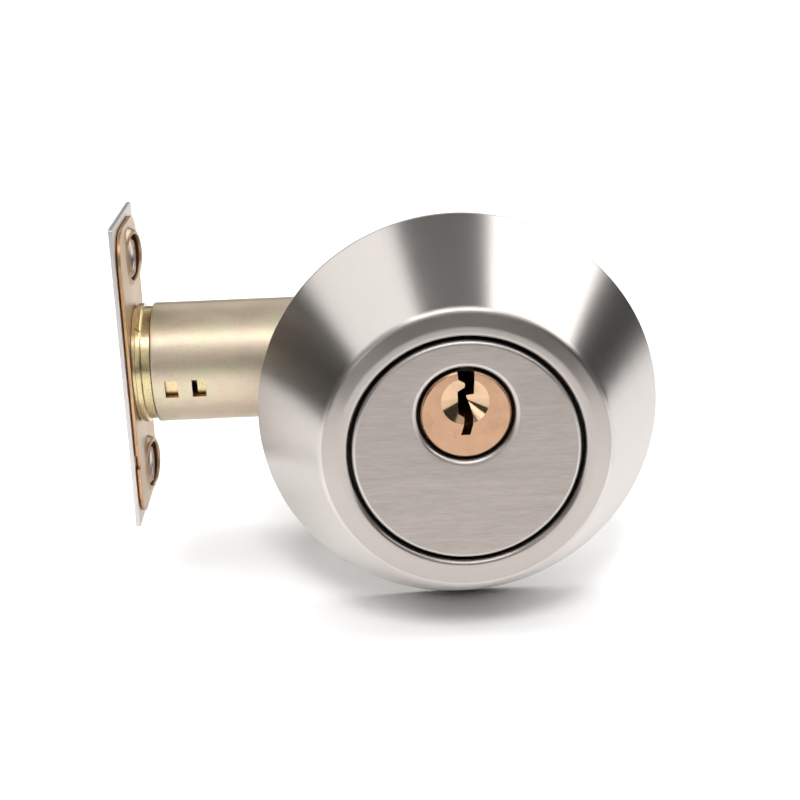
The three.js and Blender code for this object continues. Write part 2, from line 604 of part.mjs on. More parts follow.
function cheekSolid(span) {
  const tongue = 7.6;
  const tubeEnd = TUBE.end + GAP;
  const cheek = sheetXZ(outline([
    [TUBE.end - 8, -tongue], [tubeEnd, -tongue], [tubeEnd + 2.5, -CASE.half], [CASE.back - 2, -CASE.half],
    [CASE.back, -CASE.half + 2], [CASE.back, CASE.half - 2], [CASE.back - 2, CASE.half],
    [tubeEnd + 2.5, CASE.half], [tubeEnd, tongue], [TUBE.end - 8, tongue],
  ]), span);
  const bearing = turnedY(rod(HUB.radius + 0.2, -caseOuter - 1, caseOuter + 1), MEDIUM);
  const rivetHoles = CASE_RIVETS.map(([x, z]) => (
    crossRod(CASE_RIVET.shank + PRESS_GAP, caseOuter + 1, x, z)));
  return rivetHoles.reduce((solid, hole) => solid.subtract(hole),
    cheek.subtract(bearing.translate([0, 0, KEY_Z])));
}
function caseRivetSolid() {
  const { shank, head, headHeight } = CASE_RIVET;
  const seat = caseOuter + PRESS_GAP;
  const top = seat + headHeight;
  return turnedY([[0, -top], [head - 0.5, -top], [head, -seat], [shank, -seat],
    [shank, seat], [head, seat], [head - 0.5, top], [0, top]], SMALL);
}

// A leaf hooked on the front rivet rubs on the slide, so the bolt stays where it is left.
function frictionSpringSolid() {
  const [hookX, hookZ] = CASE_RIVETS[0];
  const hook = new THREE.Path();
  hook.absarc(hookX, hookZ, CASE_RIVET.shank + 0.5, Math.PI * 1.15, -Math.PI * 0.12, true);
  const tail = new THREE.SplineCurve([
    new THREE.Vector2(hookX + 2.1, hookZ - 2.2), new THREE.Vector2(hookX + 3.6, hookZ - 5.4),
    new THREE.Vector2(hookX + 6.0, hookZ - 9.2), new THREE.Vector2(hookX + 8.0, SLIDE.top + 0.6),
    new THREE.Vector2(hookX + 9.8, SLIDE.top + 1.4),
  ]);
  return sheetXZ(ribbon([...hook.getPoints(5), ...tail.getPoints(6)], 0.45), [-SLIDE.half, SLIDE.half]);
}

const latchCase = groupAt(lock, 0, 0, 0);
addPart(latchCase, 'case_street_side', cheekSolid([-caseOuter, -CASE.inner]), yellowZinc);
addPart(latchCase, 'case_room_side', cheekSolid([CASE.inner, caseOuter]), yellowZinc);
CASE_RIVETS.forEach(([x, z], k) => {
  addPart(groupAt(latchCase, x, 0, z), `case_rivet_${k + 1}`, caseRivetSolid(), yellowZinc);
});
addPart(latchCase, 'friction_spring', frictionSpringSolid(), springSteel);

// ---- Room side ------------------------------------------------------------------------------
// Local origin: the trim's centre on the door's room face; heights run out to +Y.
const room = groupAt(lock, 0, ROOM_FACE, -TRIM_DROP);

// An oval plate that spans the cross bore and takes the pull of the two long screws.
function mountingPlateSolid() {
  const { halfWidth, halfHeight, thickness, window } = MOUNTING_PLATE;
  const oval = new THREE.Shape();
  oval.absellipse(0, 0, halfWidth, halfHeight, 0, 2 * Math.PI);
  const plate = sheetXZ(oval, [0, thickness], FINE / 2);
  const through = [-1, thickness + 1];
  const tailHole = turnedY(rod(window, ...through), MEDIUM).translate([0, 0, KEY_RISE]);
  const screwHole = turnedY(rod(MOUNTING_SCREW.shank + 0.2, ...through), SMALL);
  return [-1, 1].reduce((solid, side) => solid.subtract(screwHole.translate([0, 0, side * SCREW_REACH])),
    plate.subtract(tailHole));
}

function crossRecess(width, depth, top) {
  const half = 0.35 * width;
  const bar = box([-width, width], [top - depth, top + 1], [-half, half]);
  return bar.add(bar.rotate([0, 90, 0]));
}
function mountingScrewSolid() {
  const { head, headHeight, shank, tip, socket } = MOUNTING_SCREW;
  const seat = MOUNTING_PLATE.thickness + PRESS_GAP;
  const top = seat + headHeight;
  const screw = turnedY([[0, tip], [shank - 0.7, tip], [shank, tip + 1.2], [shank, seat],
    [head, seat], [head, seat + 1.2], [head - 0.9, top], [0, top]], SMALL);
  return screw.subtract(crossRecess(socket, 1.3, top));
}

addPart(room, 'mounting_plate', mountingPlateSolid(), plateSteel);
for (const [name, side] of [['top', 1], ['bottom', -1]]) {
  const seat = groupAt(room, 0, 0, side * SCREW_REACH);
  addPart(seat, `mounting_screw_${name}`, mountingScrewSolid(), brightSteel);
}

export default lock;
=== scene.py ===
import json
import math

import bmesh
import bpy
from mathutils import Matrix, Vector
from mathutils.geometry import delaunay_2d_cdt


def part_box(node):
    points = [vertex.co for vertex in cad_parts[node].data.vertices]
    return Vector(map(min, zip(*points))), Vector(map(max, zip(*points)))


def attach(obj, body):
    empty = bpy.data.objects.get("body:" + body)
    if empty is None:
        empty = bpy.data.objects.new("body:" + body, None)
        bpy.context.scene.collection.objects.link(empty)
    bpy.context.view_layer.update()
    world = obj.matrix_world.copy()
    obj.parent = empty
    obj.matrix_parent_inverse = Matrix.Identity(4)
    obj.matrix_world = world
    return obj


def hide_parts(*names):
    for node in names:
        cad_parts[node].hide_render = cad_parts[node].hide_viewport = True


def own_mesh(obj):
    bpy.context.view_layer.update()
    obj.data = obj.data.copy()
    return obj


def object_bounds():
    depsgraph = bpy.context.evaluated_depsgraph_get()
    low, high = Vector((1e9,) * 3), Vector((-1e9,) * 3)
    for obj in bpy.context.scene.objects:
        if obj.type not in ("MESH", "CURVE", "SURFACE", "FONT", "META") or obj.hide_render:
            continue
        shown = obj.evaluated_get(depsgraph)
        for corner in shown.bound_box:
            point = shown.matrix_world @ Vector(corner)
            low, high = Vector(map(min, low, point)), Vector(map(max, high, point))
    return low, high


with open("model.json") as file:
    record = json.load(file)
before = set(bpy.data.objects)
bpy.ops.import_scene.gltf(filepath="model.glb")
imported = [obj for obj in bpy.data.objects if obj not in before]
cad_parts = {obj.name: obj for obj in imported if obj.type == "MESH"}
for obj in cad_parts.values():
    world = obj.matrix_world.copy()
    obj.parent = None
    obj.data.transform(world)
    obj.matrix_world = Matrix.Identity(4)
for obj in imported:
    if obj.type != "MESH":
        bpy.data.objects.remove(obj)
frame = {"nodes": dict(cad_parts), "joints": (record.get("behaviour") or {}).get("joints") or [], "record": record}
cad_low, cad_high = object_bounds()

# The looks of a deadbolt door lock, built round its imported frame. Shapes are worked out in
# millimetres and stored in metres. Street side -Y, room side +Y, bolt towards -X, +Z up.
MM = 0.001
RECORD = frame["record"]
BODY_OF = {node: body for body, nodes in RECORD["behaviour"]["bodies"].items() for node in nodes}
JOINT = {joint["name"]: joint for joint in frame["joints"]}


def span(node):
    """A node's lowest and highest corners, in millimetres."""
    low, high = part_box(node)
    return low / MM, high / MM


def middle_of(node):
    """The X and Z of a node's middle."""
    low, high = span(node)
    return (low.x + high.x) / 2, (low.z + high.z) / 2


def pivot(joint):
    return Vector(JOINT[joint]["pos_m"]) / MM


def placed(name, data):
    """A new object in the scene that shows a mesh, a curve, a light or a camera."""
    thing = bpy.data.objects.new(name, data)
    bpy.context.scene.collection.objects.link(thing)
    return thing


TRIM = pivot("collar_spin")  # the collar's axis, along Y
KEY = pivot("plug_turn")  # the plug's and the crank's axis, along Y
ROUND = 144  # sides of a large round piece
SCREWS = ("mounting_screw_top", "mounting_screw_bottom")


# ---- Outlines -------------------------------------------------------------------------------
def rounded(points, closed=True, step=math.radians(9)):
    """Turns each corner given as (a, b, radius) into an arc; (a, b) stays sharp."""
    corners = [Vector(point[:2]) for point in points]
    radii = [point[2] if len(point) > 2 else 0 for point in points]
    most = 0.49  # of a side, so that the arcs at its two ends don't meet
    line = []
    for k, corner in enumerate(corners):
        if radii[k] == 0 or (not closed and k in (0, len(corners) - 1)):
            line.append(corner)
            continue
        back, ahead = corners[k - 1] - corner, corners[(k + 1) % len(corners)] - corner
        before, after = back.normalized(), ahead.normalized()
        opening = before.angle(after)
        reach = min(radii[k] / math.tan(opening / 2), most * back.length, most * ahead.length)
        radius = reach * math.tan(opening / 2)
        centre = corner + (before + after).normalized() * (radius / math.sin(opening / 2))
        start, end = corner + before * reach - centre, corner + after * reach - centre
        turn = (math.pi - opening) * (1 if start.cross(end) > 0 else -1)
        count = max(2, math.ceil(abs(turn) / step))
        for i in range(count + 1):
            line.append(centre + Matrix.Rotation(turn * i / count, 2) @ start)
    return line


def arc(a, b, radius, start, end, steps):
    """Points along an arc about (a, b), from one angle to another."""
    angles = [start + (end - start) * k / steps for k in range(steps + 1)]
    return [Vector((a + radius * math.cos(t), b + radius * math.sin(t))) for t in angles]


def circle(a, b, radius, sides=48):
    return arc(a, b, radius, 0, math.tau, sides)[:-1]


def inside(point, loop):
    hit = False
    for k, here in enumerate(loop):
        last = loop[k - 1]
        if (here.y > point.y) != (last.y > point.y):
            if point.x < (last.x - here.x) * (point.y - here.y) / (last.y - here.y) + here.x:
                hit = not hit
    return hit


# ---- Meshes ---------------------------------------------------------------------------------
def cleaned(data, distance):
    """Merges points that coincide and turns the faces outwards."""
    work = bmesh.new()
    work.from_mesh(data)
    bmesh.ops.remove_doubles(work, verts=work.verts, dist=distance)
    bmesh.ops.recalc_face_normals(work, faces=work.faces)
    work.to_mesh(data)
    work.free()
    return data


def mesh_object(name, points, faces):
    """A mesh of points in millimetres."""
    data = bpy.data.meshes.new(name)
    data.from_pydata([Vector(point) * MM for point in points], [], faces)
    return placed(name, cleaned(data, 1e-7))


def worked_out(thing):
    """The mesh that an object shows, with its modifiers or from its curve."""
    bpy.context.view_layer.update()
    return bpy.data.meshes.new_from_object(thing.evaluated_get(bpy.context.evaluated_depsgraph_get()))


def settle(piece):
    """Applies the piece's modifiers to its mesh."""
    data = worked_out(piece)
    piece.modifiers.clear()
    piece.data = data
    return piece


def shade(piece, angle=32):
    """Smooth shading with sharp edges kept, and flat faces kept flat."""
    piece.data.polygons.foreach_set("use_smooth", [True] * len(piece.data.polygons))
    piece.data.set_sharp_from_angle(angle=math.radians(angle))
    weighted = piece.modifiers.new("weighted", "WEIGHTED_NORMAL")
    weighted.keep_sharp = True
    return settle(piece)


def soften(piece, width, segments=3, angle=34):
    bevel = piece.modifiers.new("bevel", "BEVEL")
    bevel.width = width * MM
    bevel.segments = segments
    bevel.limit_method = "ANGLE"
    bevel.angle_limit = math.radians(angle)
    bevel.use_clamp_overlap = True
    return settle(piece)


def combine(piece, other, operation="UNION"):
    """Joins two pieces with the exact solver, or cuts one with the other, which is used up."""
    modifier = piece.modifiers.new("boolean", "BOOLEAN")
    modifier.operation = operation
    modifier.solver = "EXACT"
    modifier.object = other
    settle(piece)
    bpy.data.objects.remove(other)
    return piece


def cut(piece, tool):
    return combine(piece, tool, "DIFFERENCE")


def merged(pieces):
    """Several separate shells as one piece."""
    first = pieces[0]
    work = bmesh.new()
    for piece in pieces:
        work.from_mesh(piece.data)
    work.to_mesh(first.data)
    work.free()
    for piece in pieces[1:]:
        bpy.data.objects.remove(piece)
    return first


def bridge(here, there):
    """Faces between two rings, given as the numbers of their points."""
    count = len(here)
    return [(here[k], here[(k + 1) % count], there[(k + 1) % count], there[k]) for k in range(count)]


def turned(name, profile, axis="Y", centre=(0.0, 0.0), sides=ROUND, closed=True):
    """Turns a profile of (radius, distance along the axis) about a line parallel to an axis."""
    points, rings = [], []
    for radius, along in profile:
        if radius < 1e-6:
            rings.append([len(points)] * sides)
            angles = [0.0]
        else:
            rings.append(list(range(len(points), len(points) + sides)))
            angles = [2 * math.pi * k / sides for k in range(sides)]
        for angle in angles:
            a = centre[0] + radius * math.sin(angle)
            b = centre[1] + radius * math.cos(angle)
            points.append((along, a, b) if axis == "X" else (a, along, b))
    faces = []
    for k in range(len(rings) if closed else len(rings) - 1):
        faces += [list(dict.fromkeys(quad)) for quad in bridge(rings[k], rings[(k + 1) % len(rings)])]
    return mesh_object(name, points, [face for face in faces if len(face) > 2])


def spun(name, profile, axis="Y", centre=(0.0, 0.0), sides=ROUND):
    """A solid turned from a profile that starts and ends on the axis."""
    return turned(name, rounded(profile, closed=False), axis, centre, sides, closed=False)


def rod(name, radius, low, high, ease, **options):
    """A round bar between two levels, with its two rims eased."""
    return spun(name, [(0, low), (radius, low, ease), (radius, high, ease), (0, high)], **options)


def sheet(name, loops, low, high, bevel=0.15, segments=2):
    """A flat piece square to Y, between two levels: the first loop is its edge, the rest are holes.
    All its edges are rounded."""
    curve = bpy.data.curves.new(name, "CURVE")
    curve.dimensions = "2D"
    curve.fill_mode = "BOTH"
    curve.extrude = ((high - low) / 2 - bevel) * MM
    curve.bevel_depth = bevel * MM
    curve.bevel_resolution = segments
    curve.offset = -bevel * MM
    for loop in loops:
        spline = curve.splines.new("POLY")
        spline.points.add(len(loop) - 1)
        for point, (a, b) in zip(spline.points, loop):
            point.co = (a * MM, b * MM, 0, 1)
        spline.use_cyclic_u = True
    holder = placed(name, curve)
    data = worked_out(holder)
    bpy.data.objects.remove(holder)
    bpy.data.curves.remove(curve)
    upright = Matrix(((1, 0, 0), (0, 0, -1), (0, 1, 0))).to_4x4()
    data.transform(Matrix.Translation((0, (low + high) / 2 * MM, 0)) @ upright)
    data.name = name
    return placed(name, cleaned(data, 2e-7))


def block(name, low, high, bevel=0.2):
    """A straight bar between two corners, with rounded edges."""
    (x0, y0, z0), (x1, y1, z1) = low, high
    points = [(x, y, z) for x in (x0, x1) for y in (y0, y1) for z in (z0, z1)]
    faces = [(0, 1, 3, 2), (4, 6, 7, 5), (0, 4, 5, 1), (2, 3, 7, 6), (0, 2, 6, 4), (1, 5, 7, 3)]
    piece = mesh_object(name, points, faces)
    return soften(piece, bevel, 3) if bevel else piece


def pressed_sheet(name, edge, holes, cups, level, thickness, lean=(0, 0)):
    """A pressed plate square to X. Each cup is (a, b, [(radius, rise, share of the lean), ...]) from
    its foot inwards to its hole; the sheet's -X skin lies at level, and the metal grows towards +X."""
    sides = 56
    feet = [circle(a, b, profile[0][0], sides) for a, b, profile in cups]
    loops = [edge, *holes, *feet]
    flat = [point for loop in loops for point in loop]
    edges, start = [], 0
    for loop in loops:
        edges += [(start + k, start + (k + 1) % len(loop)) for k in range(len(loop))]
        start += len(loop)
    spots, _, triangles, *_ = delaunay_2d_cdt(flat, edges, [], 0, 1e-6)
    points = [(level, spot.x, spot.y) for spot in spots]
    faces = []
    for triangle in triangles:
        middle = sum((spots[k] for k in triangle), Vector((0, 0))) / 3
        if inside(middle, edge) and not any(inside(middle, loop) for loop in loops[1:]):
            faces.append(tuple(triangle))
    for a, b, profile in cups:
        rings = []
        for radius, rise, *share in profile:
            rings.append(range(len(points), len(points) + sides))
            tip = share[0] if share else 0.0
            for x, y in circle(0, 0, radius, sides):
                points.append((level + rise + tip * (lean[0] * x + lean[1] * y), a + x, b + y))
        for here, there in zip(rings, rings[1:]):
            faces += bridge(here, there)
    piece = mesh_object(name, points, faces)
    if piece.data.polygons[0].normal.x > 0:
        piece.data.flip_normals()
    solid = piece.modifiers.new("solid", "SOLIDIFY")
    solid.thickness = thickness * MM
    solid.offset = -1
    solid.use_even_offset = True
    return settle(piece)


def brush_map(piece, along):
    """A flat map whose U runs along the brushing, so that the highlights know its direction."""
    layer = piece.data.uv_layers.new(name="brush")
    side = Vector([float(axis == along) for axis in "XYZ"])
    for face in piece.data.polygons:
        u = side - face.normal * side.dot(face.normal)
        if u.length < 0.3:
            u = face.normal.orthogonal()
        u.normalize()
        v = face.normal.cross(u)
        for loop in face.loop_indices:
            place = piece.data.vertices[piece.data.loops[loop].vertex_index].co
            layer.data[loop].uv = (u.dot(place) * 10, v.dot(place) * 10)
    return piece


# ---- Materials ------------------------------------------------------------------------------
class Look:
    """A Principled material whose colour, roughness and relief come from procedural nodes."""

    def __init__(self, name, metallic=1.0, **constants):
        self.material = bpy.data.materials.new(name)
        self.material.use_nodes = True
        self.tree = self.material.node_tree
        self.shader = self.tree.nodes["Principled BSDF"]
        self.shader.inputs["Metallic"].default_value = metallic
        for socket, value in constants.items():
            self.shader.inputs[socket.replace("_", " ")].default_value = value

    def node(self, kind, output=0, settings=None, **inputs):
        made = self.tree.nodes.new("ShaderNode" + kind)
        for key, value in (settings or {}).items():
            setattr(made, key, value)
        for key, value in inputs.items():
            number = key[1:]
            self.feed(made.inputs[int(number) if number.isdigit() else key], value)
        return made.outputs[output]

    def feed(self, socket, value):
        if isinstance(value, bpy.types.NodeSocket):
            self.tree.links.new(value, socket)
        else:
            socket.default_value = value

    def maths(self, operation, a, b=0.0):
        return self.node("Math", settings={"operation": operation}, _0=a, _1=b)

    def plus(self, a, b):
        return self.maths("ADD", a, b)

    def times(self, a, b):
        return self.maths("MULTIPLY", a, b)

    def place(self):
        return self.node("TexCoord", output=3)

    def noise(self, vector, scale, detail=3.0, roughness=0.55):
        return self.node("TexNoise", Vector=vector, Scale=scale, Detail=detail, Roughness=roughness)

    def stretch(self, factors):
        """Places scaled differently along each axis, for straight grain."""
        return self.node("VectorMath", settings={"operation": "MULTIPLY"}, _0=self.place(), _1=factors)

    def rings(self, axis, centre, slope, sweep=2.5):
        """Places for grain that runs round an axis: short across the rings, long round them."""
        offset = self.node("VectorMath", settings={"operation": "SUBTRACT"}, _0=self.place(), _1=centre)
        split = self.tree.nodes.new("ShaderNodeSeparateXYZ")
        self.feed(split.inputs[0], offset)
        order = {"Y": ("X", "Z", "Y"), "X": ("Y", "Z", "X")}[axis]
        a, b, along = (split.outputs[name] for name in order)
        radius = self.maths("SQRT", self.plus(self.times(a, a), self.times(b, b)))
        safe = self.maths("MAXIMUM", radius, 1e-5)
        across = self.plus(radius, self.times(along, slope))
        return self.node("CombineXYZ", _0=self.times(self.maths("DIVIDE", a, safe), sweep),
                         _1=self.times(self.maths("DIVIDE", b, safe), sweep), _2=across)

    def ramp(self, factor, *stops):
        made = self.tree.nodes.new("ShaderNodeValToRGB")
        elements = made.color_ramp.elements
        while len(elements) < len(stops):
            elements.new(0.5)
        for element, (position, colour) in zip(elements, stops):
            element.position = position
            element.color = (*colour, 1)
        self.feed(made.inputs[0], factor)
        return made.outputs[0]

    def between(self, factor, low, high):
        return self.node("MapRange", Value=factor, _3=low, _4=high)

    def colour(self, value):
        self.feed(self.shader.inputs["Base Color"], value)

    def tone(self, factor, colour, dark, light):
        """Lets the colour run from darker to lighter with the factor."""
        self.colour(self.ramp(factor, (0.3, shifted(colour, dark)), (0.5, colour),
                              (0.7, shifted(colour, light))))

    def rough(self, value):
        self.feed(self.shader.inputs["Roughness"], value)

    def relief(self, height, depth, strength=1.0):
        self.feed(self.shader.inputs["Normal"],
                  self.node("Bump", Height=height, Strength=strength, Distance=depth * MM))

    def grain_round(self, axis="Y"):
        self.feed(self.shader.inputs["Tangent"],
                  self.node("Tangent", settings={"direction_type": "RADIAL", "axis": axis}))

    def grain_straight(self):
        self.feed(self.shader.inputs["Tangent"],
                  self.node("Tangent", settings={"direction_type": "UV_MAP", "uv_map": "brush"}))


def shifted(colour, factor):
    return tuple(min(1.0, channel * factor) for channel in colour)


def brushed(name, colour, roughness, vector_of, anisotropic, tangent, contrast=0.07, fine=8500):
    """Brushed metal: fine scratches that vary its tone, its gloss and, slightly, its surface."""
    look = Look(name, Anisotropic=anisotropic, Anisotropic_Rotation=0.25)
    vector = vector_of(look)
    hair = look.noise(vector, fine, 3, 0.6)
    band = look.noise(vector, fine / 7, 3, 0.5)
    smudge = look.noise(look.place(), 70, 3, 0.5)
    scratch = look.plus(look.times(hair, 0.7), look.times(band, 0.3))
    look.tone(scratch, colour, 1 - contrast, 1 + contrast)
    look.rough(look.plus(look.between(scratch, roughness + 0.06, roughness - 0.06),
                         look.between(smudge, -0.03, 0.03)))
    look.relief(scratch, 0.003)
    tangent(look)
    return look.material


STEEL = (0.520, 0.485, 0.462)
collar_steel = brushed("collar_steel", STEEL, 0.31, lambda look: look.rings("Y", TRIM * MM, -0.9, 1.2),
                       0.8, Look.grain_round, 0.14, 6000)
# Painted shade: a darker copy of the collar steel for the collar's front ring; its grain is the real brushing.
rim_steel_painted_shade = brushed("rim_steel_painted_shade", (0.376, 0.340, 0.318), 0.30,
                    lambda look: look.rings("Y", TRIM * MM, 0.3, 1.2), 0.7, Look.grain_round, 0.14, 6000)
guard_steel = brushed("guard_steel", (0.388, 0.344, 0.318), 0.42, lambda look: look.stretch((0.06, 1, 1)),
                      0.85, Look.grain_straight, 0.13, 7000)
guard_edge = brushed("guard_edge", shifted(STEEL, 0.9), 0.36,
                     lambda look: look.rings("Y", KEY * MM, 0.5, 1.2), 0.3, Look.grain_straight)
plate_steel = brushed("plate_steel", STEEL, 0.38, lambda look: look.stretch((1, 1, 0.05)), 0.5,
                      Look.grain_straight)


def lathed(name, colour, roughness, axis, centre, ridge=2600, depth=0.003):
    """Metal turned on a lathe: even fine rings and a soft stain."""
    look = Look(name, Anisotropic=0.45, Anisotropic_Rotation=0.25)
    fine = look.noise(look.rings(axis, centre, 0.9), ridge, 3, 0.5)
    stain = look.noise(look.place(), 160, 4, 0.6)
    mark = look.plus(look.times(fine, 0.6), look.times(stain, 0.4))
    look.tone(mark, colour, 0.86, 1.1)
    look.rough(look.between(mark, roughness + 0.08, roughness - 0.06))
    look.relief(fine, depth)
    look.grain_round(axis)
    return look.material


def cast_metal(name, colour, roughness):
    """Die-cast metal: a fine orange-peel skin with darker flow marks."""
    look = Look(name, metallic=0.9)
    skin = look.noise(look.place(), 2400, 4, 0.6)
    flow = look.noise(look.stretch((1, 1, 0.5)), 150, 5, 0.6)
    look.colour(look.ramp(flow, (0.3, shifted(colour, 0.78)), (0.55, colour),
                          (0.75, shifted(colour, 1.2))))
    look.rough(look.between(flow, roughness + 0.1, roughness - 0.08))
    look.relief(skin, 0.02, 0.6)
    return look.material


def chromated(name, hues, roughness, factors=(1, 1, 1), specks=0.35):
    """Yellow-chromated zinc: a satin plate whose thin colour drifts from greenish gold to pink."""
    look = Look(name, Anisotropic=0.35, Anisotropic_Rotation=0.25)
    drift = look.noise(look.stretch((1, 1.6, 1.6)), 120, 4, 0.6)
    lines = look.noise(look.stretch(factors), 3200, 4, 0.6)
    grit = look.noise(look.place(), 1700, 3, 0.7)
    film = look.plus(look.times(drift, 0.72), look.times(lines, 0.28))
    first, reach = 0.34, 0.32  # where the hues lie along the ramp
    base = look.ramp(film, *((first + reach * k / (len(hues) - 1), hue) for k, hue in enumerate(hues)))
    dark = look.ramp(grit, (0.30, (1 - specks,) * 3), (0.46, (1, 1, 1)))
    look.colour(look.node("Mix", output=2, settings={"data_type": "RGBA", "blend_type": "MULTIPLY"},
                          _0=1.0, _6=base, _7=dark))
    look.rough(look.between(film, roughness + 0.08, roughness - 0.06))
    look.relief(look.plus(lines, look.times(grit, 0.5)), 0.004)
    look.grain_round("X")
    return look.material


tube_zinc = chromated("tube_zinc", [(0.50, 0.48, 0.34), (0.57, 0.52, 0.37), (0.60, 0.50, 0.38),
                                    (0.57, 0.46, 0.37), (0.53, 0.51, 0.36)], 0.46, (0.05, 1, 1), 0.12)
sleeve_zinc = chromated("sleeve_zinc", [(0.50, 0.42, 0.24), (0.60, 0.49, 0.28), (0.66, 0.52, 0.33)], 0.30)
plate_zinc = chromated("plate_zinc", [(0.33, 0.29, 0.18), (0.41, 0.31, 0.20), (0.46, 0.30, 0.21),
                                      (0.35, 0.32, 0.19)], 0.40, (1, 1, 0.08), 0.15)
cup_zinc = chromated("cup_zinc", [(0.40, 0.30, 0.22), (0.46, 0.33, 0.26), (0.36, 0.29, 0.20)], 0.42,
                     specks=0.15)
edge_zinc = chromated("edge_zinc", [(0.50, 0.24, 0.10), (0.62, 0.34, 0.16), (0.66, 0.42, 0.22)], 0.40)
cast_zinc = cast_metal("cast_zinc", (0.40, 0.40, 0.41), 0.46)
turned_steel = lathed("turned_steel", (0.60, 0.60, 0.60), 0.28, "Y", KEY * MM)
bolt_steel = brushed("bolt_steel", (0.62, 0.61, 0.60), 0.30, lambda look: look.stretch((0.05, 1, 1)), 0.5,
                     Look.grain_straight)
screw_steel = lathed("screw_steel", (0.66, 0.66, 0.67), 0.2, "Y", TRIM * MM, 4200, 0.002)
spring_steel = lathed("spring_steel", (0.25, 0.25, 0.27), 0.34, "Y", KEY * MM, 4200, 0.002)
shell_brass = lathed("shell_brass", (0.62, 0.43, 0.20), 0.30, "Y", KEY * MM, 3000, 0.004)


def plug_metal(name, colour, roughness, ridge, depth):
    look = Look(name)
    rings = look.noise(look.rings("Y", KEY * MM, 0.0), ridge, 2, 0.5)
    wear = look.noise(look.place(), 420, 4, 0.65)
    look.tone(wear, colour, 0.9, 1.06)
    look.rough(look.between(wear, roughness + 0.05, roughness - 0.04))
    look.relief(rings, depth, 0.5)
    return look.material


plug_face = plug_metal("plug_face", (0.43, 0.262, 0.165), 0.26, 1500, 0.003)
plug_dimple = plug_metal("plug_dimple", (0.50, 0.34, 0.22), 0.10, 4000, 0.001)


def painted_gap_shade_look():
    """Painted shade: a dull near-black colour, mottled by noise, for faces in gaps and recesses where shade falls.
    """
    look = Look("gap_painted_shade", metallic=0.3, Specular_IOR_Level=0.2)
    shade_mottle = look.noise(look.place(), 900, 4, 0.6)
    look.colour(look.ramp(shade_mottle, (0.3, (0.012, 0.010, 0.008)), (0.7, (0.035, 0.026, 0.018))))
    look.rough(look.between(shade_mottle, 0.6, 0.8))
    look.relief(shade_mottle, 0.01)
    return look.material


gap_painted_shade = painted_gap_shade_look()


# ---- Handing pieces to the frame ------------------------------------------------------------
def stands_for(piece, node, look, *others):
    """The piece takes a node's place: its body and its looks. Each other look comes with
    a test that picks its faces."""
    piece.data.materials.clear()
    for material in (look, *(other for other, _ in others)):
        piece.data.materials.append(material)
    for face in piece.data.polygons:
        face.material_index = next((k for k, (_, test) in enumerate(others, 1) if test(face)), 0)
    piece.data.update()
    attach(piece, BODY_OF[node])
    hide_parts(node)


def off_axis(face, axis):
    """How far a face lies from an axis along Y, in millimetres."""
    return math.hypot(face.center.x / MM - axis.x, face.center.z / MM - axis.z)


# ---- Street trim ----------------------------------------------------------------------------
def make_collar():
    low, high = span("exterior_collar")
    back, front, base = high.y, low.y, (high.z - low.z) / 2
    shoulder, wall = 0.62, 1.5  # the crease's depth behind the front, and the metal
    crease, lip, catch = 24.05, 19.5, 17.6  # radii
    profile = rounded([
        (base - 1.4, back, 0.15),
        (base, back, 0.35),
        (base, back - 1.15, 0.7),
        (crease, front + shoulder, 2.0),
        (21.2, front, 3.0),
        (lip, front, 1.15),
        (lip, front + 2.8),
        (catch, front + 2.9, 0.3),
        (catch, front + 3.85, 0.3),
        (lip + wall, front + 3.85),
        (lip + wall, front + wall, 0.8),
        (crease - wall * 0.9, front + shoulder + wall, 1.2),
        (base - wall, back - 1.6, 1.0),
    ], step=math.radians(6))
    piece = turned("collar_ring", profile, centre=TRIM.xz, sides=192)

    # Painted shade: faces inside the lip, behind the front, get the near-black gap colour.
    def in_shaded_gap(face):
        return face.center.y / MM > front + 1.0 and off_axis(face, TRIM) < lip + 0.2

    # The collar's front ring takes the darker steel copy as painted shade.
    stands_for(shade(piece, 50), "exterior_collar", collar_steel, (gap_painted_shade, in_shaded_gap),
               (rim_steel_painted_shade, lambda face: face.center.y / MM < front + shoulder))


def make_guard():
    low, high = span("cylinder_guard")
    front = low.y
    back = front + 2.6
    outer = (high.x - low.x) / 2
    hole, rise = 7.9, KEY.z - TRIM.z
    edge, roll, halo = 0.85, 1.05, 1.7
    quarter, steps = math.pi / 2, 8
    rings = [(0, outer, back)]
    rings += [(0, *point) for point in arc(outer - edge, front + edge, edge, 0, -quarter, steps)]
    sink = 0.07
    for k in range(5):
        share = k / 4
        rings.append((rise, hole + roll + halo * (1 - share), front + sink * share * share))
    rings += [(rise, *point)
              for point in arc(hole + roll, front + sink + roll, roll, -quarter, -2 * quarter, steps)[1:]]
    rings.append((rise, hole, back))
    sides = 160
    points, faces = [], []
    for k, (lift, radius, depth) in enumerate(rings):
        points += [(TRIM.x + a, depth, TRIM.z + lift + b) for a, b in circle(0, 0, radius, sides)]
        here, there = k * sides, (k + 1) % len(rings) * sides
        faces += bridge(range(here, here + sides), range(there, there + sides))
    piece = shade(mesh_object("keyhole_disc", points, faces), 60)

    # Painted shade: the guard's faces behind its front get the near-black gap colour.
    def in_shaded_gap(face):
        return face.center.y / MM > front + (0.7 if off_axis(face, TRIM) > 15 else 0.95)

    stands_for(brush_map(piece, "X"), "cylinder_guard", guard_steel, (gap_painted_shade, in_shaded_gap),
               (guard_edge, lambda face: abs(face.normal.y) < 0.985))


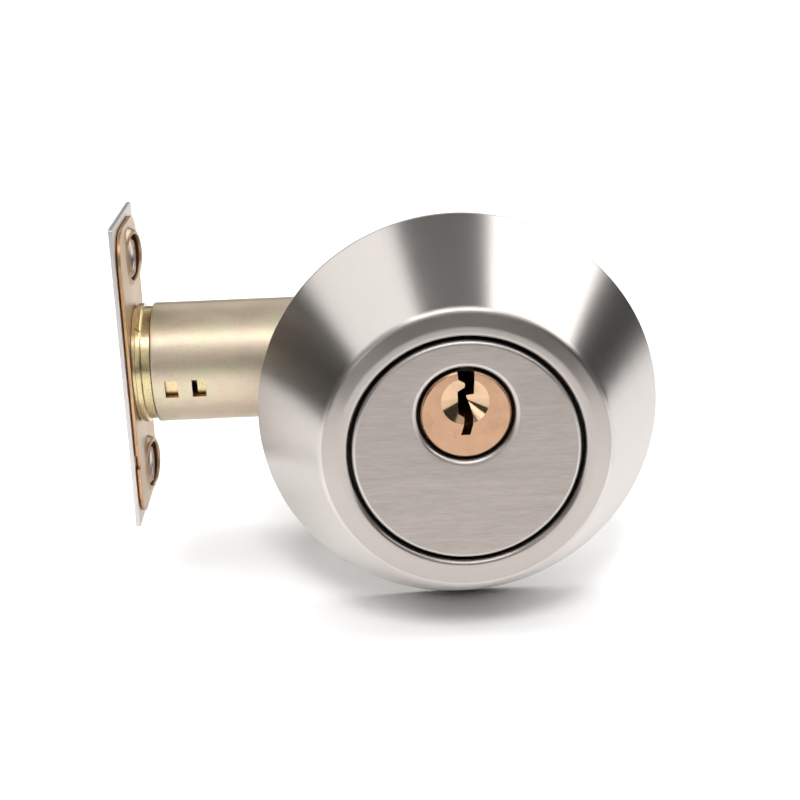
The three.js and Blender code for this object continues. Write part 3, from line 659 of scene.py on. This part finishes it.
def make_base():
    low, high = span("exterior_base")
    front, foot, reach = low.y, -25.4, high.y  # the foot stands on the door
    hub, shoulder, rim = 17.2, 23.6, (high.z - low.z) / 2
    step = front + 1.7
    cup = spun("cast_base", [
        (0, front), (hub, front, 0.3), (hub, step, 0.2), (shoulder, step, 1.0), (rim, foot - 3, 1.5),
        (rim, foot, 0.4), (rim - 2.4, foot, 0.4), (rim - 2.4, foot - 3, 1.5),
        (shoulder - 2.6, step + 3, 1.2), (0, step + 3),
    ], centre=TRIM.xz)
    cut(cup, sheet("hole", [shell_outline(0.25)], front - 2, foot, bevel=0.05))
    for node in reversed(SCREWS):
        combine(cup, spun("post", [(0, step + 1), (3.7, step + 1), (3.4, reach, 0.5), (2.6, reach, 0.2),
                                   (2.6, foot - 1), (0, foot - 1)], centre=middle_of(node), sides=48))
    stands_for(shade(soften(cup, 0.12, 2, 40), 40), "exterior_base", cast_zinc)


def shell_outline(clearance):
    """The cylinder shell's section: a round barrel with its pin bible below."""
    radius, half, depth = 9.2 + clearance, 4.75 + clearance, 17.4 + clearance
    start = math.asin(half / radius) - math.pi / 2
    foot = [(KEY.x - half, KEY.z - depth, 1.2), (KEY.x + half, KEY.z - depth, 1.2)]
    return rounded([*arc(*KEY.xz, radius, start, math.pi - start, 60), *foot])


def make_shell():
    low, high = span("cylinder_body")
    piece = sheet("cylinder_shell", [shell_outline(0), circle(*KEY.xz, 6.5, 64)], low.y, high.y, 0.3)
    cover = span("chamber_cover")
    cut(piece, block("slot", cover[0] - Vector((0.1, 0.1, 1)), cover[1] + Vector((0.1, 0.1, 0.05)), 0))
    # Painted shade: the shell's front face round the plug gets the near-black gap colour.
    stands_for(shade(piece), "cylinder_body", shell_brass,
               (gap_painted_shade, lambda face: face.center.y / MM < low.y + 0.5 and off_axis(face, KEY) < 9.4))
    stands_for(shade(block("chamber_strip", *cover, 0.12)), "chamber_cover", shell_brass)


def keyway():
    """The keyway's section, about the plug's axis. It is open at the top of the plug."""
    above = 9.0
    right = [(1.5, above), (1.4, 3.15, 0.1), (0.1, 2.8, 0.12), (0.75, 1.1, 0.5), (1.2, -0.6, 0.6),
             (1.1, -1.8, 0.5), (0.62, -3.5, 0.06)]
    left = [(-0.9, -3.5, 0.06), (-0.4, -1.8, 0.6), (-0.25, -0.7, 0.15), (-1.2, -0.1, 0.1),
            (-1.25, 3.6, 0.12), (-0.1, 4.35, 0.35), (-0.05, 5.2, 0.45), (-1.15, 5.9, 0.15), (-1.4, above)]
    return rounded([(KEY.x + a, KEY.z + b, *rest) for a, b, *rest in [*right, *left]])


def make_plug():
    low, high = span("cylinder_plug")
    front, back = low.y, high.y
    head, body, shoulder, chamfer = 7.4, 6.35, front + 2.35, 0.32
    piece = spun("key_plug", [
        (0, front), (head - chamfer, front, 0.12), (head, front + chamfer, 0.12), (head, shoulder, 0.1),
        (body, shoulder), (body, back - 1.9, 0.15), (3.0, back - 1.9), (3.0, back, 0.2), (0, back),
    ], centre=KEY.xz)
    cut(piece, sheet("slot", [keyway()], front - 2, back - 3, bevel=0.02, segments=0))
    centre = (KEY.x - 0.1, KEY.z + 2.2)
    cut(piece, spun("cone", [(0, front + 1.75), (3.9, front), (4.4, front - 0.25), (4.4, front - 1),
                             (0, front - 1)], centre=centre, sides=128))

    def in_dimple(face):
        near = face.center / MM - Vector((centre[0], 0, centre[1]))
        on_cone = -0.98 < face.normal.y < -0.5
        return on_cone and near.y < front + 1.9 and math.hypot(near.x, near.z) < 3.95

    # Painted shade: the plug head's side wall, behind the chamfer, gets the near-black gap colour.
    def in_shaded_gap(face):
        return face.center.y / MM > front + chamfer + 0.15 and off_axis(face, KEY) > head - 0.1

    stands_for(shade(piece, 20), "cylinder_plug", plug_face, (plug_dimple, in_dimple), (gap_painted_shade, in_shaded_gap))


def sector(inner, outer, middle, half_width):
    """Part of a ring about the key's axis; angles run from +Z towards +X, in degrees."""
    start, end = math.radians(90 - middle + half_width), math.radians(90 - middle - half_width)
    return arc(*KEY.xz, outer, start, end, 8) + arc(*KEY.xz, inner, end, start, 8)


def make_retainer():
    low, high = span("plug_retainer")
    hole, rim, back = 3.2, 7.6, low.y + 1.6
    disc = turned("retainer_ring", rounded([(hole, low.y, 0.15), (rim, low.y, 0.25), (rim, back, 0.25),
                                            (hole, back, 0.15)]), centre=KEY.xz, sides=96)
    dog = sheet("dog", [sector(4.2, 7.4, 225, 17)], low.y + 1.2, high.y, bevel=0.2)
    stands_for(shade(combine(disc, dog)), "plug_retainer", turned_steel)


# ---- Tailpiece and crank --------------------------------------------------------------------
def about_key(half_width, half_height, low, high):
    """The two corners of a bar that runs along the key's axis, between two levels."""
    return (KEY.x - half_width, low, KEY.z - half_height), (KEY.x + half_width, high, KEY.z + half_height)


def make_tailpiece():
    low, high = span("tailpiece")
    back = low.y + 1.6
    disc = rod("tail_bar", 3.4, low.y, back, 0.2, centre=KEY.xz, sides=64)
    combine(disc, sheet("wing", [sector(1.0, 7.2, 0, 18)], low.y, back, bevel=0.2))
    bar = block("bar", *about_key(1.0, 3.8, low.y + 0.6, high.y), 0.25)
    stands_for(shade(combine(disc, bar)), "tailpiece", turned_steel)


def make_crank():
    low, high = span("crank_hub")
    hub = rod("crank", 5.9, low.y, high.y, 0.4, centre=KEY.xz, sides=96)
    half, slot, tip, root = 5.0, 2.8, 21.7, 8.9
    fork = rounded([(-half, 0), (-half, tip - half, 0.6), (-slot, tip - slot, 0.4), (-slot, root, 2.6),
                    (slot, root, 2.6), (slot, tip - slot, 0.4), (half, tip - half, 0.6), (half, 0)])
    rest = math.radians(-135)  # from straight up, the way a turn about +Y runs
    swung = [Matrix.Rotation(rest, 2) @ point + KEY.xz for point in fork]
    for near, far in ((1.6, 3.8), (-3.8, -1.6)):
        combine(hub, sheet("arm", [swung], near, far, bevel=0.3))
    cut(hub, block("slot", *about_key(1.2, 4.0, low.y - 1, high.y + 1), 0))
    stands_for(shade(hub), "crank_hub", cast_zinc)


# ---- Latch ----------------------------------------------------------------------------------
CUPS = (-20.6, 20.6)  # the faceplate's screw holes, below and above the bolt


def bolt_section(radius, half):
    """A round bar's section with two flats, in Y and Z."""
    reach = math.acos(half / radius)
    upper = arc(0, 0, radius, reach, math.pi - reach, 40)
    return upper + [-point for point in upper]


def cup_distance(face):
    """How far a face lies from the nearer screw hole's axis, in millimetres."""
    return min(math.hypot(face.center.y / MM, face.center.z / MM - z) for z in CUPS)


def edge_faces(face):
    return abs(face.normal.x) < 0.35 and cup_distance(face) > 5.8


def make_plates():
    low, high = span("faceplate")
    half_width, half_height, skin = high.y, high.z, 0.75
    sink = [(4.75, 0.0), (4.62, 0.06), (2.75, 1.62), (2.6, 1.78), (2.55, 1.9)]
    edge = rounded([(-half_width, -half_height, 0.5), (half_width, -half_height, 0.5),
                    (half_width, half_height, 0.5), (-half_width, half_height, 0.5)])
    face = pressed_sheet("face_plate", edge, [bolt_section(9.7, 6.0)], [(0, z, sink) for z in CUPS],
                         low.x, skin)
    face = shade(soften(face, 0.12, 2, 50), 35)
    stands_for(brush_map(face, "Z"), "faceplate", plate_steel,
               (cup_zinc, lambda spot: spot.normal.x > 0.1 and cup_distance(spot) < 4.7))

    low, high = span("backing_plate")
    half_width, half_height, skin = high.y, high.z, 0.65
    rim = [(5.7, 0.0, 0.0), (5.4, 0.04, 0.0), (5.1, 0.2, 0.2), (4.9, 0.45, 0.5), (4.75, 0.7, 0.8),
           (4.6, 0.86, 1.0), (4.4, 0.95, 1.0), (4.2, 1.0, 1.0)]
    floor = 1.2 - half_width
    notch = [(-half_width, -14.8), (floor, -15.0, 0.2), (floor, -17.2, 0.2), (-half_width, -17.4)]
    corner = 6.0
    edge = rounded([(half_width, half_height, corner), (-half_width, half_height, corner), *notch,
                    (-half_width, -half_height, corner), (half_width, -half_height, corner)])
    back = pressed_sheet("backing", edge, [bolt_section(9.9, 6.4)], [(0, z, rim) for z in CUPS],
                         low.x, skin, lean=(0.17, 0.03))
    back = shade(soften(back, 0.13, 2, 50), 35)
    stands_for(back, "backing_plate", plate_zinc, (edge_zinc, edge_faces))


def make_sleeve():
    low, high = span("latch_sleeve")
    root, end = low.x, high.x
    lip = span("bolt_tube")[0].x
    ring_from, ring_to = lip - 2.9, lip - 1.8
    piece = turned("inner_sleeve", rounded([
        (9.65, root, 0.2), (10.9, root), (10.9, ring_from), (11.3, ring_from, 0.15), (11.3, ring_to, 0.35),
        (10.72, ring_to, 0.1), (10.72, lip - 0.2, 0.1), (10.25, lip - 0.1), (10.25, end, 0.2),
        (9.65, end, 0.2),
    ]), axis="X")
    cut(piece, block("slot", (lip + 7.15, -11.3, -4.3), (lip + 8.2, -9, -0.6), 0))
    seam = block("seam", (-0.9, -12.3, -0.12), (0.9, -10.85, 0.12), 0)
    slant, climb = math.radians(29), math.radians(49)
    seam.data.transform(Matrix.Rotation(slant, 4, "Y"))
    seam.data.transform(Matrix.Translation(Vector(((ring_from + ring_to) / 2 * MM, 0, 0))))
    seam.data.transform(Matrix.Rotation(-climb, 4, "X"))
    cut(piece, seam)
    stands_for(shade(piece), "latch_sleeve", sleeve_zinc)


WINDOWS = ((2.3, 4.65), (7.3, 9.8))  # along the tube, from its lip


def make_tube():
    low, high = span("bolt_tube")
    lip, end, radius, wall = low.x, high.x, 11.3, 0.8
    top, foot = math.asin(0.4 / radius), math.asin(3.8 / radius)
    angles = sorted({2 * math.pi * k / ROUND for k in range(ROUND)} | {top, foot})
    stations = [lip, lip + 0.35, lip + 0.8, *(lip + x for pair in WINDOWS for x in pair)]
    stations += [stations[-1] + 1.4 * k for k in range(1, 15)] + [end]
    swell = {0: -0.02, 1: 0.03, 2: 0.0}
    points = []
    for i, x in enumerate(stations):
        grow = swell.get(i, 0.0)
        for angle in angles:
            points.append((x, -(radius + grow) * math.cos(angle), -(radius + grow) * math.sin(angle)))
    count = len(angles)
    windows = {stations.index(lip + start) for start, _ in WINDOWS}
    faces = []
    for i in range(len(stations) - 1):
        for k in range(count):
            opening = i in windows and top - 1e-6 < angles[k] < foot - 1e-6
            if not opening:
                here, j = i * count, (k + 1) % count
                faces.append((here + k, here + j, here + count + j, here + count + k))
    piece = mesh_object("outer_tube", points, faces)
    outward = piece.data.polygons[0]
    if outward.normal.dot(Vector((0, outward.center.y, outward.center.z))) < 0:
        piece.data.flip_normals()
    solid = piece.modifiers.new("solid", "SOLIDIFY")
    solid.thickness = wall * MM
    solid.offset = -1
    settle(piece)
    piece = shade(soften(piece, 0.13, 2, 50), 40)

    def in_window(face):
        place = face.center / MM
        side = abs(face.normal.dot(Vector((0, place.y, place.z)).normalized())) < 0.6
        return side and lip + 1 < place.x < lip + 11 and place.y < 0

    stands_for(piece, "bolt_tube", tube_zinc, (edge_zinc, in_window))


def make_bolt():
    low, high = span("deadbolt")
    front, back, half, radius = low.x, high.x, 5.6, 9.3
    piece = spun("bolt_bar", [(0, front), (radius, front, 0.7), (radius, back, 0.4), (0, back)], axis="X")
    combine(piece, block("flats", (front - 1, -half, -12), (back + 1, half, 12), 0), "INTERSECT")
    cut(piece, block("slot", (span("bolt_slide")[0].x - 0.3, -1.4, -12), (back + 1, 1.4, -3.0), 0))
    tip, tail = span("anti_saw_pin")
    lie = {"axis": "X", "centre": (0.0, (tip.z + tail.z) / 2), "sides": 48}
    cut(piece, rod("drill", 2.45, tip.x - 0.3, back + 1, 0, **lie))
    piece = shade(soften(piece, 0.35, 3, 40), 35)
    stands_for(brush_map(piece, "X"), "deadbolt", bolt_steel)
    stands_for(shade(rod("hard_pin", 2.3, tip.x, tail.x, 0.4, **lie)), "anti_saw_pin", spring_steel)


def cross_pin(name, node):
    """A round pin that runs along Y, with eased ends."""
    low, high = span(node)
    piece = rod(name, (high.z - low.z) / 2, low.y, high.y, 0.35, centre=middle_of(node), sides=48)
    stands_for(shade(piece), node, turned_steel)


def make_slide():
    low, high = span("bolt_slide")
    pin_x, pin_z = middle_of("crank_pin")
    top, foot, boss = high.z, -9.2, 2.8
    start = -math.pi - math.asin(min(1, (foot - pin_z) / boss))
    nose = arc(pin_x, pin_z, boss, start, 0, 14)
    edge = rounded([(low.x, foot, 0.6), *nose, (pin_x + boss, top, 1.2), (low.x, top, 0.6)])
    piece = sheet("throw_slide", [edge, circle(pin_x, pin_z, 1.6), circle(*middle_of("slide_rivet"), 1.5)],
                  low.y, high.y, bevel=0.2)
    stands_for(shade(piece), "bolt_slide", tube_zinc)
    cross_pin("slide_pin", "crank_pin")
    cross_pin("bolt_rivet", "slide_rivet")


def case_rivet_places():
    return [middle_of(f"case_rivet_{k}") for k in (1, 2, 3)]


def make_case():
    low, high = span("case_street_side")
    tube_end = span("bolt_tube")[1].x
    half, back = high.z, high.x
    tongue = 7.6
    above = [(back, half - 2, 1.5), (back - 2, half, 1.5), (tube_end + 2.8, half, 1.2),
             (tube_end + 0.3, tongue, 0.6), (low.x, tongue, 1.0)]
    edge = rounded([(x, -z, radius) for x, z, radius in reversed(above)] + above)
    holes = [circle(*KEY.xz, 6.1, 72)] + [circle(x, z, 1.6, 32) for x, z in case_rivet_places()]
    for node in ("case_street_side", "case_room_side"):
        low, high = span(node)
        cheek = sheet(node + "_cheek", [edge, *holes], low.y, high.y, bevel=0.18)
        stands_for(shade(cheek), node, tube_zinc, (edge_zinc, lambda face: abs(face.normal.y) < 0.2))
    for k, (x, z) in enumerate(case_rivet_places(), 1):
        low, high = span(f"case_rivet_{k}")
        shank, head, thick = 1.5, (high.z - low.z) / 2, 0.7
        rivet = spun(f"cheek_rivet_{k}", [
            (0, low.y), (head, low.y + 0.1, 0.6), (head, low.y + thick, 0.1), (shank, low.y + thick),
            (shank, high.y - thick), (head, high.y - thick, 0.1), (head, high.y - 0.1, 0.6), (0, high.y),
        ], centre=(x, z), sides=48)
        stands_for(shade(rivet), f"case_rivet_{k}", sleeve_zinc)


def make_friction_spring():
    """A leaf that hooks round the first rivet, then runs through its knots in a smooth curve."""
    low, high = span("friction_spring")
    x, z = case_rivet_places()[0]
    line = arc(x, z, 2.0, 1.15 * math.pi, -0.12 * math.pi, 24)
    knots = [*line[-2:], *map(Vector, ((x + 2.1, z - 2.2), (x + 3.6, z - 5.4), (x + 6.0, z - 9.2),
                                       (x + 8.0, low.z + 0.25), (x + 9.8, low.z + 1.05)))]
    for k in range(1, len(knots) - 1):
        a, b = knots[k], knots[k + 1]
        before, after = (b - knots[k - 1]) / 2, ((knots[k + 2] if k + 2 < len(knots) else b) - a) / 2
        for i in range(1, 9):
            t = i / 8
            line.append((2 * t**3 - 3 * t**2 + 1) * a + (t**3 - 2 * t**2 + t) * before
                        + (-2 * t**3 + 3 * t**2) * b + (t**3 - t**2) * after)
    sides = [[], []]
    for k, point in enumerate(line):
        along = (line[min(k + 1, len(line) - 1)] - line[max(k - 1, 0)]).normalized()
        across = Vector((-along.y, along.x)) * 0.22
        sides[0].append(point + across)
        sides[1].append(point - across)
    piece = sheet("drag_leaf", [sides[0] + sides[1][::-1]], low.y, high.y, bevel=0.05)
    stands_for(shade(piece, 40), "friction_spring", spring_steel)


# ---- Room side ------------------------------------------------------------------------------
def make_mounting_plate():
    low, high = span("mounting_plate")
    half_width, half_height = (high.x - low.x) / 2, (high.z - low.z) / 2
    oval = [Vector((TRIM.x + half_width * point.x, TRIM.z + half_height * point.y))
            for point in circle(0, 0, 1, ROUND)]
    holes = [circle(*KEY.xz, 8.0, 96), *(circle(*middle_of(node), 2.2, 36) for node in SCREWS)]
    piece = sheet("oval_plate", [oval, *holes], low.y, high.y, bevel=0.2)
    stands_for(brush_map(shade(piece), "X"), "mounting_plate", bolt_steel)


def cross_recess(name, centre, top, width, depth):
    """A Phillips recess: two tapering wings that cross."""
    half, foot, over = width * 0.17, width * 0.3, top + 1.0
    ends = [(-width, over), (width, over), (width, top), (foot, top - depth), (-foot, top - depth),
            (-width, top)]
    sides = range(len(ends)), range(len(ends), 2 * len(ends))
    faces = [tuple(sides[0]), tuple(reversed(sides[1])), *bridge(*sides)]
    across = [(a, y, side) for side in (-half, half) for a, y in ends]
    wings = []
    for points in (across, [(b, y, a) for a, y, b in across]):
        wings.append(mesh_object(name, [(centre[0] + a, y, centre[1] + b) for a, y, b in points], faces))
    return combine(*wings)


def make_mounting_screws():
    crest, root, pitch, sides = 1.98, 1.6, 0.7, 32
    for node in SCREWS:
        low, high = span(node)
        x, z = centre = middle_of(node)
        seat = high.y - 2.2
        length = seat - 0.6 - low.y
        stations = 6 * int(length / pitch)
        points, rows = [], [range(i * sides, (i + 1) * sides) for i in range(stations + 1)]
        for i in range(stations + 1):
            along = length * i / stations
            fade, taper = min(1.0, (length - along) / pitch), 0.72 + 0.28 * min(1.0, along)
            for k in range(sides):
                flank = abs(2 * ((along / pitch - k / sides) % 1) - 1)
                radius = (root + (crest - root) * flank * fade) * taper
                angle = math.tau * k / sides
                points.append((x + radius * math.sin(angle), low.y + along, z + radius * math.cos(angle)))
        faces = [tuple(rows[0]), tuple(rows[-1])]
        for here, there in zip(rows, rows[1:]):
            faces += bridge(here, there)
        shank = shade(mesh_object(node + "_thread", points, faces), 30)
        radius = (high.z - low.z) / 2
        head = spun(node + "_head", [
            (0, seat - 0.7), (1.9, seat - 0.7), (1.9, seat), (radius, seat, 0.2), (radius, seat + 1.1, 0.7),
            (radius - 1.4, high.y, 0.7), (0, high.y),
        ], centre=centre, sides=64)
        cut(head, cross_recess("recess", centre, high.y, 1.8, 1.2))
        piece = merged([shank, shade(head)])
        piece.name = node + "_threaded"
        stands_for(piece, node, screw_steel)


def dress_hidden_nodes():
    """The sealed pins and springs keep their CAD shapes and get proper metal."""
    for node, piece in frame["nodes"].items():
        if node.startswith(("key_pin", "driver_pin", "pin_spring")):
            piece.data.materials.clear()
            piece.data.materials.append(spring_steel if node.startswith("pin_spring") else shell_brass)
        if node.startswith("pin_spring"):
            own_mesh(piece)


for build in (make_collar, make_guard, make_base, make_shell, make_plug, make_retainer, make_tailpiece,
              make_crank, make_plates, make_sleeve, make_tube, make_bolt, make_slide, make_case,
              make_friction_spring, make_mounting_plate, make_mounting_screws, dress_hidden_nodes):
    build()


# ---- Floor, light and camera ----------------------------------------------------------------
def emitter(name, place, target, width, height, radiance, gloss=True, diffuse=True):
    """A soft box that faces its target. Without gloss no metal mirrors it, and without diffuse it
    lights no floor."""
    data = bpy.data.lights.new(name, "AREA")
    data.shape = "RECTANGLE"
    data.size, data.size_y = width, height
    data.energy = radiance * width * height * math.pi
    light = placed(name, data)
    light.location = place
    light.rotation_euler = (Vector(target) - Vector(place)).to_track_quat("-Z", "Y").to_euler()
    light.visible_camera = False
    light.visible_glossy = gloss
    light.visible_diffuse = diffuse


def card(name, corners, look):
    """A flat four-cornered piece of the stage, in metres."""
    data = bpy.data.meshes.new(name)
    data.from_pydata(corners, [], [(0, 1, 2, 3)])
    data.materials.append(look.material)
    return placed(name, data)


def make_floor():
    """A white sweep. Its far part glows, so that it stays white where the lamps don't reach."""
    level = cad_low.z - 0.0002
    reach = 6.0
    corners = [(-reach, -reach), (reach, -reach), (reach, reach), (-reach, reach)]
    look = Look("white_sweep", metallic=0.0, Roughness=0.8, Specular_IOR_Level=0.1)
    paper = look.noise(look.place(), 40, 2, 0.5)
    look.colour(look.ramp(paper, (0.3, (0.82, 0.82, 0.82)), (0.7, (0.85, 0.85, 0.85))))
    away = look.node("VectorMath", "Value", {"operation": "DISTANCE"}, _0=look.place(), _1=(0, -0.2, 0))
    glow = look.node("MapRange", 0, {"interpolation_type": "SMOOTHSTEP"}, Value=away, _1=0.5, _2=1.1,
                     _3=0.0, _4=1.1)
    look.feed(look.shader.inputs["Emission Color"], (1, 1, 1, 1))
    look.feed(look.shader.inputs["Emission Strength"], glow)
    floor = card("floor", [(x, y, level) for x, y in corners], look)


def make_flags():
    """Black cards that stand out of view, one in front and one at each side, which polished faces
    mirror."""
    look = Look("black_card", metallic=0.0, Roughness=1.0, Specular_IOR_Level=0.0)
    felt = look.noise(look.place(), 300, 2, 0.5)
    look.colour(look.ramp(felt, (0.3, (0.05, 0.05, 0.05)), (0.7, (0.07, 0.07, 0.07))))
    for name, start, end, foot, top in (("front_flag", (-1.2, -0.31), (1.2, -0.31), -0.03, 0.10),
                                        ("left_flag", (-0.4, -0.1), (-0.4, 0.6), -0.032, 0.035),
                                        ("right_flag", (0.4, -0.1), (0.4, 0.6), -0.026, 0.035)):
        flag = card(name, [(*start, foot), (*end, foot), (*end, top), (*start, top)], look)
        flag.visible_camera = False
        flag.visible_shadow = False
        flag.visible_diffuse = False


def make_lights():
    """Two long boxes to the sides that the steel mirrors, a strip overhead in front, a key light
    from the same side, and a broad soft light from above; the room between them is dim."""
    world = bpy.data.worlds.new("studio")
    world.use_nodes = True
    nodes, links = world.node_tree.nodes, world.node_tree.links
    nodes["Background"].inputs["Color"].default_value = (0.94, 1.0, 0.96, 1)
    path = nodes.new("ShaderNodeLightPath")
    share = nodes.new("ShaderNodeMapRange")
    share.inputs["To Min"].default_value = 0.06
    share.inputs["To Max"].default_value = 0.9
    links.new(path.outputs["Is Camera Ray"], share.inputs["Value"])
    links.new(share.outputs[0], nodes["Background"].inputs["Strength"])
    bpy.context.scene.world = world
    emitter("left_box", (-0.70, 0.5, 0.85), (0, 0.5, 0), 2.0, 0.82, 1.6, diffuse=False)
    emitter("right_box", (0.72, 0.5, 0.83), (0, 0.5, 0), 2.0, 0.92, 3.2, diffuse=False)
    emitter("front_strip", (-0.05, -0.62, 1.0), (0, 0, 0), 0.9, 0.3, 6.0, diffuse=False)
    emitter("front_fill", (0, -0.95, 0.68), (0, 0, 0), 1.4, 0.5, 0.8, diffuse=False)
    emitter("back_panel", (0, 1.3, 0.75), (0, 0, 0), 1.2, 0.5, 0.9, diffuse=False)
    emitter("low_card", (0, -0.07, cad_low.z + 0.001), (0, -0.07, 1), 0.16, 0.1, 0.25, diffuse=False)
    emitter("window", (-0.15, -0.30, 0.078), (0, -0.04, 0), 0.10, 0.07, 2.6, diffuse=False)
    emitter("key", (-0.05, -0.74, 0.90), (0, 0, 0), 0.3, 0.3, 28.0, gloss=False)
    emitter("tent", (0, 0.20, 1.10), (0, 0.1, 0), 2.2, 1.6, 2.2, gloss=False)
    emitter("left_fill", (-1.0, 0.0, 0.7), (0, 0, 0), 0.6, 0.6, 5.0, gloss=False)
    emitter("right_fill", (1.0, 0.0, 0.7), (0, 0, 0), 0.6, 0.6, 5.0, gloss=False)


def make_camera():
    place = Vector((-16.48, -280.58, 85.92)) * MM
    heading, tilt, roll = 0.0252, 0.3288, -0.036
    data = bpy.data.cameras.new("camera")
    data.sensor_width = 36
    data.lens = 69.0
    data.clip_start = 0.01
    camera = placed("camera", data)
    forward = Vector((math.sin(heading) * math.cos(tilt), math.cos(heading) * math.cos(tilt),
                      -math.sin(tilt)))
    level = Vector((math.cos(heading), -math.sin(heading), 0))
    upright = level.cross(forward)
    right = math.cos(roll) * level + math.sin(roll) * upright
    up = math.cos(roll) * upright - math.sin(roll) * level
    camera.matrix_world = Matrix.Translation(place) @ Matrix((right, up, -forward)).transposed().to_4x4()
    bpy.context.scene.camera = camera
    bpy.context.scene.view_settings.view_transform = "Standard"


make_floor()
make_flags()
make_lights()
make_camera()
